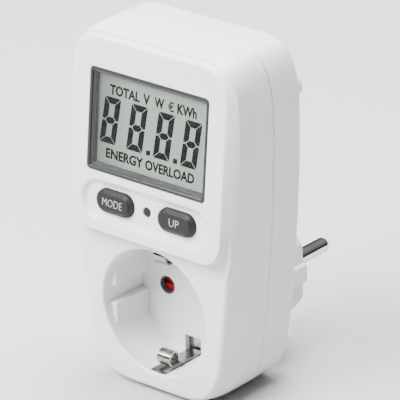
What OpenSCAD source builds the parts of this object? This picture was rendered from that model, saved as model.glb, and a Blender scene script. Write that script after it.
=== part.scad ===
// Plug-in power meter: a plug and a socket back to back, with a tilted display panel above the socket.
// Millimetres. X is right, Y is towards the wall, Z is up.
// The origin is the centre of the plug's end face, between the roots of the two pins.

/* [Housing] */
// Greatest width, at the seam between the two shells
body_w = 64.4; // [63.6:0.2:66]
// Height of the top above the socket axis
body_top = 82.8; // [82:0.2:83]
// Depth of the underside below the socket axis
body_bottom = 26.2; // [26.2:0.2:27]
// Wall thickness of both shells
wall = 2; // [1.8:0.1:2.2]
// Distance from the socket face to the seam
seam_depth = 17.6; // [17.4:0.1:18]
// Distance from the socket face to the outside of the rear wall
rear_depth = 31; // [31:0.1:31.6]
// Height of the spacer bumps on the rear wall
bump_h = 3; // [2:0.2:3.4]

/* [Display panel] */
// Width of the raised panel face
panel_w = 56.4; // [56:0.2:57]
// Length of the panel face along its slope
panel_h = 57.8; // [57.2:0.2:58]
// Tilt of the panel, its foot leaning out over the socket
panel_tilt = 6.8; // [6.4:0.2:7.2]
// Width of the display window
window_w = 44.4; // [44:0.2:44.6]
// Height of the display window
window_h = 31; // [30.8:0.1:31.2]

/* [Buttons] */
// Length of the two long buttons
key_w = 13.6; // [13:0.2:13.8]
// Height of the two long buttons
key_h = 6.9; // [6.5:0.1:7.2]
// Distance from the middle of the panel to each long button
key_x = 11.6; // [11.2:0.1:12]
// Travel of the two long buttons
key_travel = 0.8; // [0.4:0.1:0.9]
// Diameter of the reset pin
reset_d = 2.8; // [2.6:0.1:3]

/* [Socket and plug] */
// Radius of the socket recess
recess_r = 19.5; // [19.4:0.1:19.6]
// Depth of the socket recess
recess_depth = 17; // [16.8:0.1:17.2]
// Distance between the two pins, and between the two sockets
pin_pitch = 19; // [19]
// Diameter of the plug pins
pin_d = 4.8; // [4:0.8:4.8]
// Length of the plug pins beyond the plug face
pin_len = 19; // [18.5:0.5:19]
// Radius of the plug body
plug_r = 18.4; // [18.3:0.1:18.5]
// Distance from the socket face to the plug face
body_depth = 48.7; // [48.4:0.1:49]

/* [Hidden] */
$fn = 48;
eps = 0.01;
fit = 0.05;

pin_x = pin_pitch / 2;
half_w = body_w / 2;
face_y = -body_depth;

// Front bevel: full outline at bevel_depth, drawn in towards the socket face
bevel_depth = 7.2;
bevel_inset = 1.5;
face_round = 0.9;
rear_round = 2.2;

// Panel plane: its middle, and where the window and the buttons lie on it
panel_z = 51;
panel_out = 0.6;
window_v = 5.3;
window_round = 1.4;
keys_v = -18.55;
dish_w = 47;
dish_h = 11.6;
dish_depth = 1.5;
key_floor = dish_depth + wall;

// Display stack, measured inwards from the panel face
glass_w0 = wall + fit;
glass_t = 2;
holder_back = 5.6;
board_w0 = holder_back + fit;
board_t = 1.2;
board_back = board_w0 + board_t;

// Socket parts, measured from the socket face
floor_t = 1.8;
floor_back = recess_depth + floor_t;
hole_r = 2.85;
guide_x = 16.88;
guide_depth = 2.9;
guide_groove = 5.5;
slot_w = 6;
notch_in = 14.1;
cup_t = 1.7;

// Shutter and its cover
shutter_d0 = 19.1;
shutter_t = 1.5;
shutter_r = 13;
shutter_half = 19;
post_r = 1.5;
cover_d0 = 20.9;
cover_t = 1.25;
cover_r = 15.2;
cover_half_z = 12.8;
block_d0 = cover_d0 + cover_t;
sleeve_r = 3;

// Plug parts
plug_wall = 2.2;
plug_in_r = 16.2;
plug_flat_x = 16.3;
rib_x = 18.2;
rib_h = 5.4;
strap_z = 16.95;
strap_t = 0.8;
strap_w = 6;
carrier_d0 = 43;

// Earth clip: how far in the curled nose lies, its height and its size
nose_d = 5.7;
nose_z = 15.9;
nose_r = 2.2;
clip_t = 0.6;

// Power board
power_d0 = 24.4;
power_t = 1.6;

housing_screw_at = [[19, 75.6], [-19, 75.6], [13.5, -20.3], [-13.5, -20.3]];
bump_at = [[27, 67], [-27, 67], [21.6, -13.6], [-21.6, -13.6]];
display_screw_at = [[11.5, 24.35], [-11.5, 24.35], [22.6, -18.5], [-22.6, -18.5]];
power_screw_at = [[-23.6, 68], [23.6, 31]];
socket_screw_at = [[0, 10], [0, -10]];

plastic = [0.93, 0.93, 0.94];
key_grey = [0.33, 0.33, 0.35];
metal = [0.78, 0.77, 0.74];
brass = [0.80, 0.66, 0.35];
board_green = [0.10, 0.35, 0.20];

// ---- helpers ----

// A point on a cubic Bezier curve
function bezier(p, t) =
    pow(1 - t, 3) * p[0] + 3 * pow(1 - t, 2) * t * p[1] + 3 * (1 - t) * t * t * p[2] + pow(t, 3) * p[3];
function curve(p, n) = [for (i = [0:n - 1]) bezier(p, i / n)];
function flip(points) = [for (i = [len(points) - 1:-1:0]) [-points[i][0], points[i][1]]];

// Right half of the body outline: flat top, round shoulder, bowed side, full round foot
half_outline = concat(
    curve([[19.5, body_top], [28.5, body_top], [half_w, 77], [half_w, 62]], 12),
    curve([[half_w, 62], [half_w, 40], [29.6, 12], [27.3, -3]], 10),
    curve([[27.3, -3], [25.6, -17], [23.6, -body_bottom], [9, -body_bottom]], 14),
    [[9, -body_bottom]]
);
body_outline = concat(half_outline, flip(half_outline));

module outline(inset = 0) {
    offset(delta = -inset) polygon(body_outline);
}

// Extrudes an XZ drawing between two depths behind the socket face
module slab(d0, d1) {
    translate([0, face_y + d1, 0]) rotate([90, 0, 0]) linear_extrude(d1 - d0) children();
}

// Extrudes a drawing of depth and height between two values of X
module side_slab(x0, x1) {
    translate([x0, face_y, 0]) rotate([90, 0, 90]) linear_extrude(x1 - x0) children();
}

// A round bar along the depth axis
module bar(at, r, d0, d1) {
    translate([at[0], face_y + d1, at[1]]) rotate([90, 0, 0]) cylinder(r = r, h = d1 - d0);
}

// Panel frame: X across, Y inwards from the panel face, Z up the slope
module on_panel() {
    translate([0, face_y - panel_out, panel_z]) rotate([-panel_tilt, 0, 0]) children();
}

module panel_slab(w0, w1) {
    translate([0, w1, 0]) rotate([90, 0, 0]) linear_extrude(w1 - w0) children();
}

module panel_bar(at, r, w0, w1) {
    translate([at[0], w1, at[1]]) rotate([90, 0, 0]) cylinder(r = r, h = w1 - w0);
}

module round_rect(w, h, r) {
    square([w - 2 * r, h], center = true);
    square([w, h - 2 * r], center = true);
    for (x = [-1, 1], y = [-1, 1])
        translate([x * (w / 2 - r), y * (h / 2 - r)]) circle(r);
}

module stadium(w, h) {
    square([w - h, h], center = true);
    for (x = [-1, 1]) translate([x * (w - h) / 2, 0]) circle(h / 2);
}

// ---- housing ----

module front_block(inset) {
    hull() {
        slab(seam_depth - eps, seam_depth) outline(inset);
        slab(bevel_depth, bevel_depth + eps) outline(inset + 0.3);
        slab(face_round + inset, face_round + inset + eps)
            intersection() {
                outline(inset + bevel_inset);
                translate([-40, -40]) square([80, 63 - inset]);
            }
        slab(inset, inset + eps)
            intersection() {
                outline(inset + bevel_inset + face_round);
                translate([-40, -40]) square([80, 63 - inset]);
            }
    }
}

module front_panel(inset) {
    hull() {
        slab(seam_depth - eps, seam_depth)
            intersection() {
                outline(inset);
                translate([-40, 22.6 + inset]) square([80, 70]);
            }
        slab(bevel_depth, bevel_depth + eps)
            intersection() {
                outline(inset + 0.3);
                translate([-40, 22.6 + inset]) square([80, 70]);
            }
        on_panel() {
            panel_slab(inset, inset + eps)
                round_rect(panel_w - 2 * inset - 1.4, panel_h - 2 * inset - 1.4, 6);
            panel_slab(inset + 0.7, inset + 0.7 + eps)
                round_rect(panel_w - 2 * inset, panel_h - 2 * inset, 6.7);
        }
    }
}

module key_floor_pad() {
    on_panel() panel_slab(wall - eps, key_floor) translate([0, keys_v - 0.4]) round_rect(50, 13.1, 5);
}

// Wall of the recess, its floor and the two grooved guides
module recess_cup() {
    slab(wall / 2, floor_back) circle(recess_r + cup_t, $fn = 96);
}

module recess_hollow() {
    difference() {
        slab(-5, recess_depth) circle(recess_r, $fn = 96);
        slab(guide_depth, recess_depth + eps)
            for (x = [-1, 1], z = [-1, 1])
                translate([x * (guide_x + 2) - 2, z > 0 ? guide_groove / 2 : -guide_groove / 2 - 12])
                    square([4, 12]);
    }
}

module front_shell() {
    color(plastic)
    difference() {
        union() {
            difference() {
                union() {
                    front_block(0);
                    front_panel(0);
                }
                front_block(wall);
                front_panel(wall);
            }
            key_floor_pad();
            recess_cup();
            // screw bosses, kept inside the outer skin
            intersection() {
                union() {
                    for (p = housing_screw_at) bar(p, 2.4, 0, seam_depth);
                    on_panel() for (p = display_screw_at) panel_bar(p, 1.9, 0, board_w0);
                }
                union() {
                    front_block(wall / 2);
                    front_panel(wall / 2);
                }
            }
            for (p = socket_screw_at) bar(p, 1.9, floor_back - eps, cover_d0);
        }
        recess_hollow();
        // rebate for the rear shell's lip
        slab(seam_depth - 1.3, seam_depth + 1) difference() {
            outline(wall / 2);
            outline(wall + 1);
        }
        // window, button dish and button holes
        on_panel() {
            panel_slab(-1, wall + 1) translate([0, window_v]) round_rect(window_w, window_h, window_round);
            panel_slab(-1, dish_depth) translate([0, keys_v - 0.2]) stadium(dish_w, dish_h);
            for (x = [-key_x, key_x])
                panel_slab(0, key_floor + 1) translate([x, keys_v]) stadium(key_w + 0.4, key_h + 0.4);
            panel_bar([0, keys_v], reset_d / 2 + 0.15, 0, key_floor + 1);
            for (p = display_screw_at) panel_bar(p, 0.85, 2, board_w0 + 1);
        }
        // holes in the recess floor, and the slots for the earth clips
        for (x = [-pin_x, pin_x]) bar([x, 0], hole_r, recess_depth - 1, floor_back + 1);
        for (z = [-1, 1]) {
            slab(1, floor_back + 1) translate([-slot_w / 2, z > 0 ? notch_in : -recess_r - cup_t - 1])
                square([slot_w, recess_r + cup_t + 1 - notch_in]);
        }
        for (p = housing_screw_at) bar(p, 1.25, 8, seam_depth + 1);
        for (p = socket_screw_at) bar(p, 1.15, recess_depth + 0.8, cover_d0 + 1);
    }
}

module rear_block(inset) {
    hull() {
        slab(seam_depth, seam_depth + eps) outline(inset);
        slab(rear_depth - rear_round, rear_depth - rear_round + eps) outline(inset + 0.3);
        slab(rear_depth - 0.9 - inset, rear_depth - 0.9 - inset + eps) outline(inset + 0.8);
        slab(rear_depth - eps - inset, rear_depth - inset) outline(inset + rear_round);
    }
}

// Plug body outline: a circle with two side flats, each with a guide rib, and two earth channels
module plug_outline() {
    difference() {
        circle(plug_r, $fn = 96);
        for (x = [-1, 1], z = [-1, 1])
            translate([x * (plug_flat_x + 2) - 2, z > 0 ? rib_h / 2 : -rib_h / 2 - 12]) square([4, 12]);
        for (x = [-1, 1]) translate([x * (rib_x + 2) - 2, -4]) square([4, 8]);
        for (z = [-1, 1])
            translate([-strap_w / 2 - 0.1, z > 0 ? strap_z - fit : -strap_z + fit - 4])
                square([strap_w + 0.2, 4]);
    }
}

module rear_shell() {
    color(plastic)
    difference() {
        union() {
            difference() {
                rear_block(0);
                rear_block(wall);
            }
            // lip that locates in the front shell
            slab(seam_depth - 1.2, seam_depth + 2) difference() {
                outline(wall / 2 + 0.1);
                outline(wall + 0.8);
            }
            slab(rear_depth - 1, body_depth) plug_outline();
            for (p = housing_screw_at) bar(p, 3.2, seam_depth + 0.1, rear_depth - 1);
            for (p = power_screw_at) bar(p, 2.2, power_d0 + power_t, rear_depth - 1);
            for (p = bump_at) {
                bar(p, 3.3, rear_depth - 2, rear_depth + bump_h - 0.8);
                bar(p, 2.6, rear_depth, rear_depth + bump_h);
            }
        }
        slab(rear_depth - wall - 1, body_depth - plug_wall) circle(plug_in_r, $fn = 96);
        for (x = [-pin_x, pin_x]) bar([x, 0], pin_d / 2 + fit, body_depth - 3, body_depth + 1);
        for (z = [-1, 1]) slab(rear_depth - 4, rear_depth + 1)
            translate([-strap_w / 2 - 0.1, z > 0 ? strap_z - fit : -strap_z - strap_t - fit])
                square([strap_w + 0.2, strap_t + 2 * fit]);
        for (p = housing_screw_at) {
            bar(p, 2.5, 21, rear_depth + 1);
            bar(p, 1.55, seam_depth - 1, 22);
        }
        for (p = power_screw_at) bar(p, 0.95, power_d0, rear_depth - 2.6);
    }
}

module housing_screws() {
    color(metal) for (p = housing_screw_at) {
        bar(p, 2.2, 21, 22.8);
        bar(p, 1.2, 10, 21);
    }
}

// ---- display ----

module window_frame() {
    color([0.28, 0.29, 0.30]) on_panel() panel_slab(-0.05, wall) translate([0, window_v]) difference() {
        round_rect(window_w - 0.15, window_h - 0.15, window_round);
        square([window_w - 3.4, window_h - 3.1], center = true);
    }
}

module window_lens() {
    color([0.85, 0.92, 0.90, 0.4]) on_panel() panel_slab(0.35, 1.35) translate([0, window_v])
        square([window_w - 3.5, window_h - 3.2], center = true);
}

module lcd_cell() {
    color([0.72, 0.76, 0.70]) on_panel() panel_slab(glass_w0, glass_w0 + glass_t) translate([0, window_v])
        square([43.2, 31.4], center = true);
}

module zebra_at(z) {
    translate([0, window_v + z * 14.4]) square([40, 1.8], center = true);
}

module lcd_holder() {
    color([0.85, 0.85, 0.82]) on_panel() difference() {
        panel_slab(glass_w0, holder_back)
            translate([0, window_v - 0.25]) square([47.4, 34.5], center = true);
        panel_slab(glass_w0 - 1, glass_w0 + glass_t)
            translate([0, window_v]) square([43.5, 31.7], center = true);
        panel_slab(0, holder_back + 1) translate([0, window_v]) square([34, 22], center = true);
        panel_slab(0, holder_back + 1) for (z = [-1, 1]) offset(delta = 0.2) zebra_at(z);
    }
}

module zebra_strips() {
    color([0.55, 0.25, 0.30]) on_panel() panel_slab(glass_w0 + glass_t, board_w0)
        for (z = [-1, 1]) zebra_at(z);
}

module display_board() {
    color(board_green) on_panel() difference() {
        panel_slab(board_w0, board_back) union() {
            translate([-24.8, -25.2]) square([49.6, 47.6]);
            translate([-14.6, 22]) square([29.2, 4.1]);
        }
        for (p = display_screw_at) panel_bar(p, 1.1, board_w0 - 1, board_back + 1);
    }
}

module display_screws() {
    color(metal) on_panel() for (p = display_screw_at) {
        panel_bar(p, 1.7, board_back, board_back + 1.2);
        panel_bar(p, 0.8, board_back - 3.6, board_back);
    }
}

// A hollow key with a retaining flange behind the dish floor
module long_key(x) {
    on_panel() translate([x, 0, keys_v]) difference() {
        union() {
            panel_slab(-0.4, 0) stadium(key_w - 0.9, key_h - 0.9);
            panel_slab(0, key_floor + 0.1) stadium(key_w, key_h);
            panel_slab(key_floor + fit, key_floor + 0.85) stadium(key_w + 1.6, key_h + 1.6);
        }
        panel_slab(1, key_floor + 2) stadium(key_w - 2, key_h - 2);
    }
}

module mode_button() {
    color(key_grey) long_key(-key_x);
}

module up_button() {
    color(key_grey) long_key(key_x);
}

module reset_button() {
    color(key_grey) on_panel() {
        panel_bar([0, keys_v], reset_d / 2, dish_depth + 0.2, key_floor + 0.1);
        panel_bar([0, keys_v], 2.1, key_floor + fit, key_floor + 0.65);
        panel_bar([0, keys_v], 0.7, key_floor + 0.6, board_w0 - 0.7);
    }
}

module plunger(x) {
    color([0.90, 0.88, 0.82]) on_panel() panel_bar([x, keys_v], 1, 1, 3.85);
}

module mode_plunger() {
    plunger(-key_x);
}

module up_plunger() {
    plunger(key_x);
}

// Three push switches soldered to the display board
module switch_bodies() {
    color([0.20, 0.20, 0.21]) on_panel() {
        for (x = [-key_x, key_x]) difference() {
            panel_slab(3.65, board_w0) translate([x, keys_v]) square([4.2, 4.2], center = true);
            panel_bar([x, keys_v], 1.1, 3, 4.9);
        }
        difference() {
            panel_slab(4.75, board_w0) translate([0, keys_v]) square([4.2, 4.2], center = true);
            panel_bar([0, keys_v], 0.8, 4, 5.5);
        }
    }
}

module controller_blob() {
    color([0.08, 0.08, 0.09]) on_panel() {
        panel_bar([0, 8], 6.5, board_back, board_back + 0.9);
        panel_bar([0, 8], 4.8, board_back + 0.8, board_back + 1.6);
    }
}

module crystal() {
    color(metal) on_panel() translate([10, board_back + 1.05, 12]) {
        cylinder(r = 1, h = 6);
        for (x = [-0.35, 0.35]) translate([x, 0, -2]) cylinder(r = 0.2, h = 2.5, $fn = 16);
    }
}

// Three button cells in one sleeve
module backup_battery() {
    color([0.20, 0.45, 0.30]) on_panel() translate([-8.4, board_back + 6, -8])
        rotate([0, 90, 0]) for (i = [0:2]) translate([0, 0, i * 5.6]) {
            cylinder(r = 5.75, h = 5);
            translate([0, 0, 4.9]) cylinder(r = 3.4, h = 0.7);
        }
}

// ---- power board ----

module power_board() {
    color(board_green) difference() {
        slab(power_d0, power_d0 + power_t) translate([-26.6, 25.5]) square([53.2, 46.3]);
        for (p = power_screw_at) bar(p, 1.2, power_d0 - 1, power_d0 + 3);
    }
}

module power_board_screws() {
    color(metal) for (p = power_screw_at) {
        bar(p, 1.9, power_d0 - 1.3, power_d0);
        bar(p, 0.9, power_d0, power_d0 + 3.6);
    }
}

module metering_chip() {
    color([0.10, 0.10, 0.11]) {
        slab(power_d0 - 1.7, power_d0 - 0.3) translate([-2, 48]) square([10, 4]);
        slab(power_d0 - 0.6, power_d0) for (i = [0:7]) translate([-1.2 + i * 1.2, 46.8]) square([0.5, 6.4]);
    }
}

module dropper_capacitor() {
    color([0.80, 0.68, 0.15]) slab(power_d0 - 8, power_d0) translate([0, 63]) round_rect(17.5, 9, 0.8);
}

module smoothing_capacitor() {
    color([0.12, 0.14, 0.30]) translate([-19, face_y + power_d0 - 3.3, 38]) {
        cylinder(r = 3.2, h = 11);
        translate([0, 0, -0.8]) cylinder(r = 2.9, h = 1);
    }
}

module varistor() {
    color([0.15, 0.35, 0.65]) translate([19, face_y + power_d0 - 2, 54]) rotate([90, 0, 0]) {
        cylinder(r = 4.6, h = 3.4);
        for (x = [-2.5, 2.5]) translate([x, 0, -2]) cylinder(r = 0.35, h = 2.2, $fn = 16);
    }
}

module resistors() {
    color([0.75, 0.65, 0.50]) for (i = [0:3])
        translate([14, face_y + power_d0 - 1.4, 34 + i * 3.6]) rotate([0, 90, 0]) {
            cylinder(r = 1.15, h = 6.2);
            translate([0, 0, -2]) cylinder(r = 0.3, h = 10.2, $fn = 16);
        }
}

// Flat cable between the two boards
module ribbon_link() {
    color([0.75, 0.75, 0.78]) side_slab(-6, 4) polygon([
        [8.6, 29.6], [12, 28.4], [16, 27.6], [20, 28], [power_d0 - fit, 29.6],
        [power_d0 - fit, 30.2], [20, 28.6], [16, 28.2], [12, 29], [8.6, 30.2]
    ]);
}

// ---- socket ----

// A sector about the socket axis, wide enough to cover one hole
module shutter_arm(turn) {
    rotate(turn) intersection() {
        circle(shutter_r, $fn = 96);
        polygon([[0, 0], [20, -20 * tan(shutter_half)], [20, 20 * tan(shutter_half)]]);
    }
}

module shutter() {
    color([0.75, 0.12, 0.13]) difference() {
        slab(shutter_d0, shutter_d0 + shutter_t) union() {
            circle(4.2);
            shutter_arm(0);
            shutter_arm(180);
        }
        bar([0, 0], post_r + fit, shutter_d0 - 1, shutter_d0 + 3);
        // pocket for the return spring
        bar([0, 0], 3.4, shutter_d0 - 1, shutter_d0 + 0.8);
        // ramps that the pins push aside
        for (turn = [0, 180]) translate([0, face_y + shutter_d0, 0]) rotate([0, turn, 0])
            translate([pin_x - 4.5, -1.65, -4]) rotate([-18, 0, 0]) cube([12, 1.5, 4.6]);
    }
}

module shutter_spring() {
    color(metal) {
        for (d = [19.3, 19.65]) translate([0, face_y + d, 0]) rotate([90, 0, 0])
            rotate_extrude() translate([2.4, 0]) circle(0.16, $fn = 16);
        bar([2.4, 0], 0.16, 19.3, 19.65);
    }
}

module cover_outline(grow = 0) {
    intersection() {
        circle(cover_r + grow, $fn = 96);
        square([80, 2 * (cover_half_z + grow)], center = true);
    }
}

module shutter_cover() {
    color([0.86, 0.86, 0.85]) difference() {
        union() {
            slab(cover_d0, block_d0) cover_outline();
            slab(floor_back + fit, cover_d0 + eps) difference() {
                cover_outline();
                cover_outline(-1.1);
            }
            bar([0, 0], post_r, floor_back + fit, cover_d0 + eps);
        }
        for (x = [-pin_x, pin_x]) bar([x, 0], hole_r + 0.2, cover_d0 - 1, block_d0 + 1);
        for (p = socket_screw_at) bar(p, 1.3, cover_d0 - 1, block_d0 + 1);
    }
}

module contact_block() {
    color([0.80, 0.79, 0.75]) difference() {
        union() {
            slab(block_d0, 30) union() {
                for (x = [-pin_x, pin_x]) translate([x, 0]) circle(5.2);
                square([pin_pitch, 7], center = true);
            }
            slab(block_d0, 24.6) square([6.4, 24.6], center = true);
        }
        for (x = [-pin_x, pin_x]) bar([x, 0], sleeve_r + fit, block_d0 - 1, 31);
        for (p = socket_screw_at) bar(p, 1.3, block_d0 - 1, 26);
    }
}

module socket_screws() {
    color(metal) for (p = socket_screw_at) {
        bar(p, 2, 24.6, 26);
        bar(p, 1.1, floor_back - 0.6, 24.6);
    }
}

// A split spring sleeve that grips one pin of the plug
module contact_sleeve(x) {
    color(brass) difference() {
        bar([x, 0], sleeve_r, block_d0 + 0.2, 33);
        bar([x, 0], pin_d / 2 + 0.02, block_d0 - 1, 34);
        slab(block_d0 - 1, 31) translate([x - 4, -0.3]) square([8, 0.6]);
    }
}

module live_contact() {
    contact_sleeve(-pin_x);
}

module neutral_contact() {
    contact_sleeve(pin_x);
}

// A strip beside the sleeve that runs back to the pin's rivet
module strip_at(side, d0, d1) {
    slab(d0, d1)
        translate([side > 0 ? pin_x + sleeve_r + fit : -pin_x - sleeve_r - fit - 0.8, -2]) square([0.8, 4]);
}

module strip_foot(side) {
    difference() {
        slab(carrier_d0 - 0.9, carrier_d0 - fit)
            translate([side > 0 ? pin_x - 2 : -pin_x - sleeve_r - fit - 0.8, -2])
                square([sleeve_r + 2.85, 4]);
        bar([side * pin_x, 0], 1.55, carrier_d0 - 3, carrier_d0 + 1);
    }
}

module neutral_bar() {
    color(brass) {
        strip_at(1, 30.3, carrier_d0 - fit);
        strip_foot(1);
    }
}

module live_bar() {
    color(brass) {
        strip_at(-1, 36.6, carrier_d0 - fit);
        strip_foot(-1);
    }
}

module shunt() {
    color([0.70, 0.50, 0.38]) strip_at(-1, 30.3, 36.55);
}

module plug_pin(x) {
    color([0.86, 0.86, 0.88]) {
        bar([x, 0], pin_d / 2, body_depth, body_depth + pin_len - 1.6);
        translate([x, pin_len - 1.6, 0]) rotate([-90, 0, 0])
            rotate_extrude() intersection() {
                union() {
                    square([pin_d / 2 - 1.6, 1.6]);
                    translate([pin_d / 2 - 1.6, 0]) circle(1.6);
                }
                square([3, 1.6]);
            }
        bar([x, 0], 3, body_depth - plug_wall - 1.9, body_depth - plug_wall - fit);
        bar([x, 0], pin_d / 2 - 0.3, body_depth - plug_wall - 1, body_depth + eps);
        bar([x, 0], 1.5, 41.6, body_depth - plug_wall - 1.8);
    }
}

module live_pin() {
    plug_pin(-pin_x);
}

module neutral_pin() {
    plug_pin(pin_x);
}

module pin_carrier() {
    color([0.35, 0.35, 0.36]) difference() {
        slab(carrier_d0, body_depth - plug_wall - fit) circle(plug_in_r - 0.2, $fn = 96);
        for (x = [-pin_x, pin_x]) {
            bar([x, 0], 1.6, carrier_d0 - 1, body_depth);
            bar([x, 0], 3.05, body_depth - plug_wall - 1.95, body_depth);
        }
    }
}

// ---- earth ----

// One strip from the back of the recess floor to the end of the plug body
module earth_strap(side) {
    color(metal) mirror([0, 0, side > 0 ? 0 : 1]) {
        slab(20, 47.4) translate([-strap_w / 2, strap_z]) square([strap_w, strap_t]);
        slab(20, 20.6) translate([-2.9, 13.4]) square([5.8, strap_z + strap_t - 13.4]);
    }
}

module upper_earth_strap() {
    earth_strap(1);
}

module lower_earth_strap() {
    earth_strap(-1);
}

// Spring clip: a tongue that rises to a curled nose near the mouth of the recess
module earth_clip(side) {
    color(metal) mirror([0, 0, side > 0 ? 0 : 1]) side_slab(-2.4, 2.4) union() {
        translate([nose_d, nose_z]) difference() {
            circle(nose_r);
            circle(nose_r - clip_t);
            translate([-5, 0]) square([10, 5]);
        }
        translate([nose_d - nose_r, nose_z - eps]) square([clip_t, 2.2]);
        translate([nose_d + nose_r - clip_t, nose_z - eps]) square([clip_t, 1.6]);
        polygon([
            [nose_d + nose_r - clip_t, nose_z + 1.2], [nose_d + nose_r, nose_z + 1.1],
            [19.7, 16.25], [19.7, 16.25 + clip_t],
            [nose_d + nose_r, nose_z + 1.75], [nose_d + nose_r - clip_t, nose_z + 1.75]
        ]);
    }
}

module upper_earth_clip() {
    earth_clip(1);
}

module lower_earth_clip() {
    earth_clip(-1);
}

// Joins the two straps round one side of the contact block
module earth_bridge() {
    color(metal) slab(23, 23.8) union() {
        for (z = [-1, 1]) translate([-3, z > 0 ? strap_z - 1.2 : -strap_z]) square([20.6, 1.2]);
        translate([15.4, -strap_z]) square([2.2, 2 * strap_z]);
    }
}

// ---- wires ----

// One ring of points round a wire, square to its direction
function wire_ring(p, dir, r, n) =
    let (u = cross(dir, [1, 0, 0]) / norm(cross(dir, [1, 0, 0])), v = cross(dir, u) / norm(dir))
    [for (i = [0:n - 1]) p + r * (cos(360 * i / n) * u + sin(360 * i / n) * v)];

module wire(points, r, n = 10) {
    last = len(points) - 1;
    rings = [for (i = [0:last])
        each wire_ring(points[i], points[min(i + 1, last)] - points[max(i - 1, 0)], r, n)];
    sides = [for (i = [0:last - 1], k = [0:n - 1])
        [i * n + k, i * n + (k + 1) % n, i * n + n + (k + 1) % n, i * n + n + k]];
    caps = [[for (k = [n - 1:-1:0]) k], [for (k = [0:n - 1]) last * n + k]];
    polyhedron(points = rings, faces = concat(sides, caps));
}

module sense_leads() {
    color([0.15, 0.30, 0.65]) for (side = [-1, 1])
        translate([0, face_y, 0]) wire([
            [side * 14.15, 33, 0], [side * 14.1, 31, 3], [side * 12.6, 27.4, 9],
            [side * 12, 27.2, 22], [side * 12, 26.8, 29]
        ], 0.7);
}

// ---- one line for each node ----

front_shell();
rear_shell();
window_frame();
window_lens();
lcd_cell();
lcd_holder();
zebra_strips();
display_board();
mode_button();
up_button();
reset_button();
switch_bodies();
mode_plunger();
up_plunger();
controller_blob();
crystal();
backup_battery();
power_board();
metering_chip();
dropper_capacitor();
smoothing_capacitor();
varistor();
resistors();
ribbon_link();
shutter();
shutter_spring();
shutter_cover();
contact_block();
live_contact();
neutral_contact();
shunt();
live_bar();
neutral_bar();
live_pin();
neutral_pin();
pin_carrier();
upper_earth_strap();
lower_earth_strap();
upper_earth_clip();
lower_earth_clip();
earth_bridge();
sense_leads();
housing_screws();
display_screws();
power_board_screws();
socket_screws();
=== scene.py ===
"""Plug-in power meter: the visible pieces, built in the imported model's frame.

Each sub-assembly is a class that holds its sizes in millimetres. Depths run from the socket face
towards the wall. Heights up the panel, called v, are measured along its slope.
"""

import logging
import math
from dataclasses import dataclass
from enum import Enum
from functools import cache
from typing import Callable, Sequence

import bmesh
import bpy
from mathutils import Matrix, Vector
from mathutils.geometry import interpolate_bezier


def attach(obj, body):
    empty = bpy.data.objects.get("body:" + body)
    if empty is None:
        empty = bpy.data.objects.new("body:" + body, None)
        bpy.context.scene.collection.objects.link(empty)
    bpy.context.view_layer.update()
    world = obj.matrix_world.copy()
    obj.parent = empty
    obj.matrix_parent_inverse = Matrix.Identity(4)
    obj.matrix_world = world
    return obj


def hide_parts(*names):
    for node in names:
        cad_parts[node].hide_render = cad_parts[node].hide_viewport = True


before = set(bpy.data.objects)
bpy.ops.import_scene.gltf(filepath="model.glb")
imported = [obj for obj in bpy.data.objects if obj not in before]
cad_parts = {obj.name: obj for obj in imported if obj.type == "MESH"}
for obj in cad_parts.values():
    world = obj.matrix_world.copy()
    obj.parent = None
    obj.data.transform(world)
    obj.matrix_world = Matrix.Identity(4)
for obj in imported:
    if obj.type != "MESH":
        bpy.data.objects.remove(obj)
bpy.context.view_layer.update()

log = logging.getLogger("power_meter")

MM = 0.001
FACE_Y = -48.7  # the socket face
SEAM = 17.6  # depth of the join between the two shells
HOLE_X = 9.5  # contact holes and plug pins, either side of the middle
KEY_X = 11.6  # long keys, either side of the middle
KEY_V = -18.55  # key row, up the panel
WINDOW_V = 5.3  # middle of the display window, up the panel
FILM = 0.05  # thickness of printed film
SCREWS_AT = ((19, 75.6), (-19, 75.6), (13.5, -20.3), (-13.5, -20.3))  # housing screws
NOISE_LOW, NOISE_HIGH = 0.3, 0.7  # most of a noise pattern lies between these

Loop = list[Vector]
Points = Sequence[tuple[float, float]]
Colour = tuple[float, float, float]
Stops = Sequence[tuple[float, Colour]]
Mesh = bmesh.types.BMesh
Socket = bpy.types.NodeSocket


class Carve(Enum):
    """How a tool shape acts on a blank."""

    JOIN = "UNION"
    TAKE = "DIFFERENCE"


class Body(Enum):
    """The moving bodies of the meter."""

    HOUSING = "housing"
    MODE_KEY = "mode_key"
    UP_KEY = "up_key"
    RESET_KEY = "reset_key"
    SHUTTER = "shutter"
    UPPER_CLIP = "upper_clip"
    LOWER_CLIP = "lower_clip"


# ---------------------------------------------------------------- finishes


def set_stops(band: bpy.types.ColorRamp, stops: Stops) -> None:
    """Fills a colour ramp.

    Args:
        band: the ramp.
        stops: positions and linear RGB colours.
    """
    while len(band.elements) < len(stops):
        band.elements.new(0.5)
    for element, (position, colour) in zip(band.elements, stops):
        element.position, element.color = position, (*colour, 1.0)


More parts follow.
